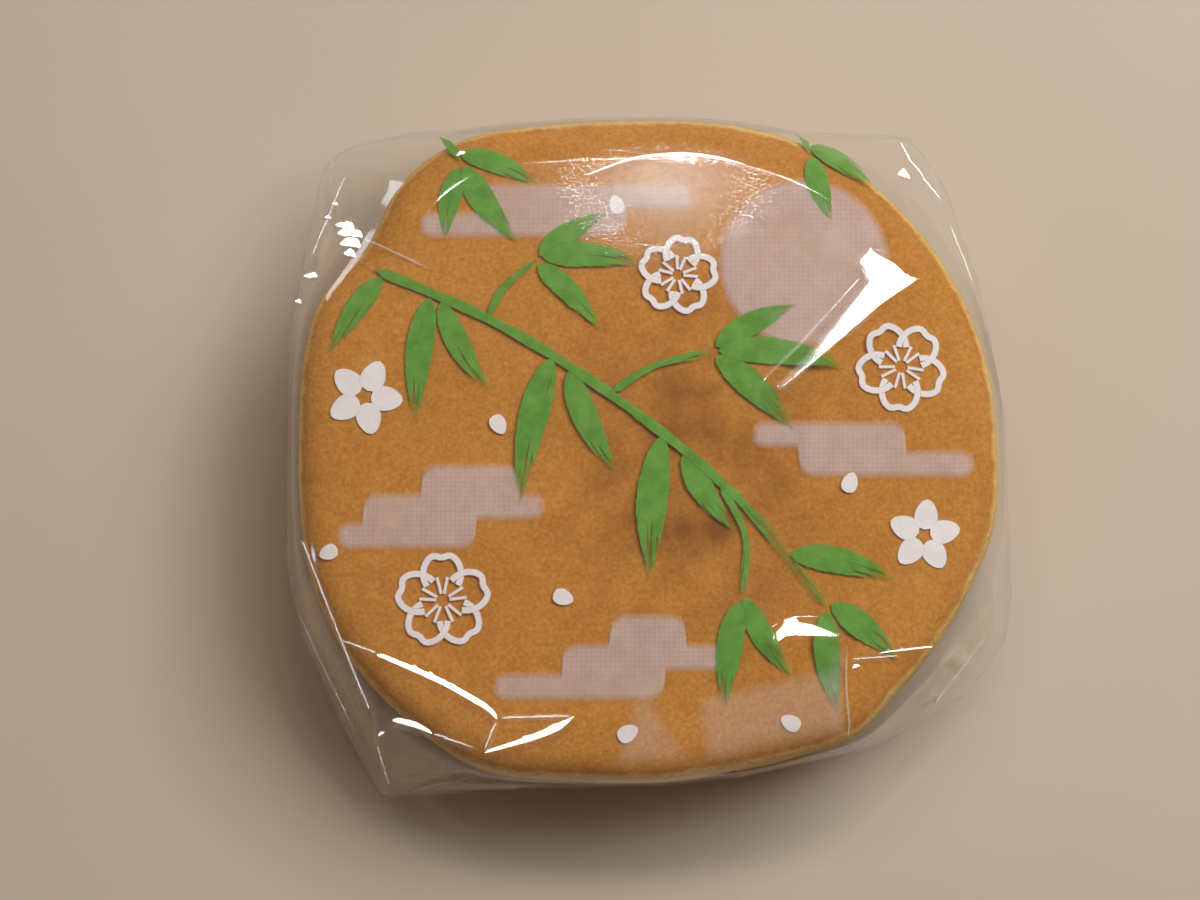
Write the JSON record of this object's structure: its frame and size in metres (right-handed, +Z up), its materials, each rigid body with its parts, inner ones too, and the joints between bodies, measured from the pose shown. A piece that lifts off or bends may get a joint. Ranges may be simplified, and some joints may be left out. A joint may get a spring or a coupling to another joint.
{
  "type": "manju in a clear film pack",
  "caption": "Flat round-cornered castella manju with a browned top and pale crumb sides, sealed in a clear printed film pack with folded corner ears.",
  "frame": {"origin": "middle of the pack's flat underside, on the surface it rests on", "axes": "+Z up through the top face, +X to the picture's right, +Y away from the viewer to the picture's top, along the film tube"},
  "size_m": [0.0694, 0.064, 0.022],
  "materials": {
    "pack": "clear glossy film seen over a browned crust",
    "film": "thin clear film, smooth and glossy, with sharp folds",
    "crust": "fine-grained browned cake crust, matte",
    "crumb": "pale yellow sponge crumb, matte and finely pitted",
    "print_white": "white ink on film, thin where soft and opaque in the fine lines",
    "print_green": "green ink on film"
  },
  "bodies": {
    "root": {"wrapped_manju": "pack"}
  },
  "joints": []
}
